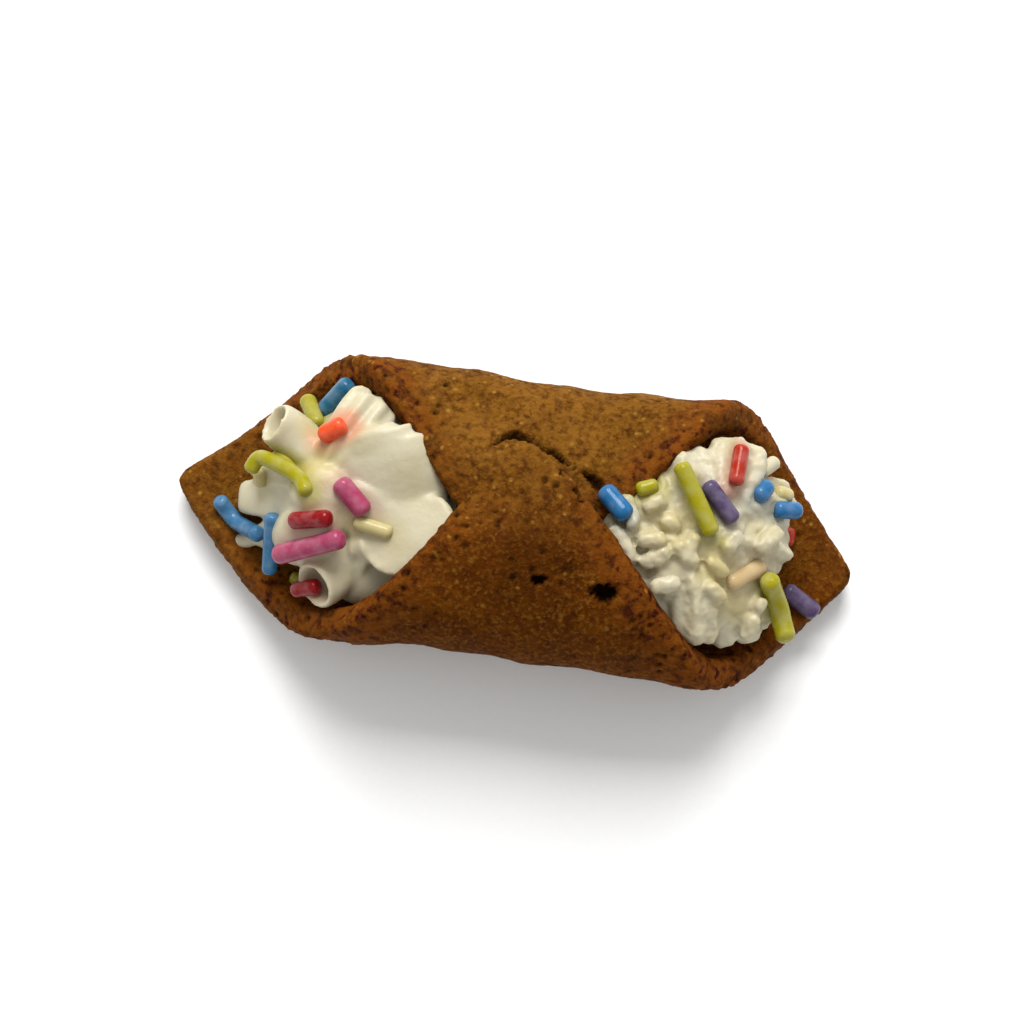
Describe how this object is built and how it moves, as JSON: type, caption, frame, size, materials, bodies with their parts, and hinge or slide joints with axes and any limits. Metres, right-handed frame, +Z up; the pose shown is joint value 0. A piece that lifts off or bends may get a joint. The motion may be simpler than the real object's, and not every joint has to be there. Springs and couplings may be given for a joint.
{
  "type": "cannoli",
  "caption": "Small cannoli of rolled brown biscuit dough, corner lapped over corner, with piped cream and sugar strands at both ends.",
  "frame": {"origin": "on the ground, in the flat spot that the roll rests on, under the middle of the roll", "axes": "+X along the roll to the end with the most sugar strands, +Y to the back away from the lapped flap, +Z up"},
  "size_m": [0.0753, 0.0317, 0.0208],
  "materials": {
    "baked_dough": "matt",
    "whipped_cream": "satin"
  },
  "bodies": {
    "root": {"shell": "baked_dough", "cream": "whipped_cream"}
  },
  "joints": []
}
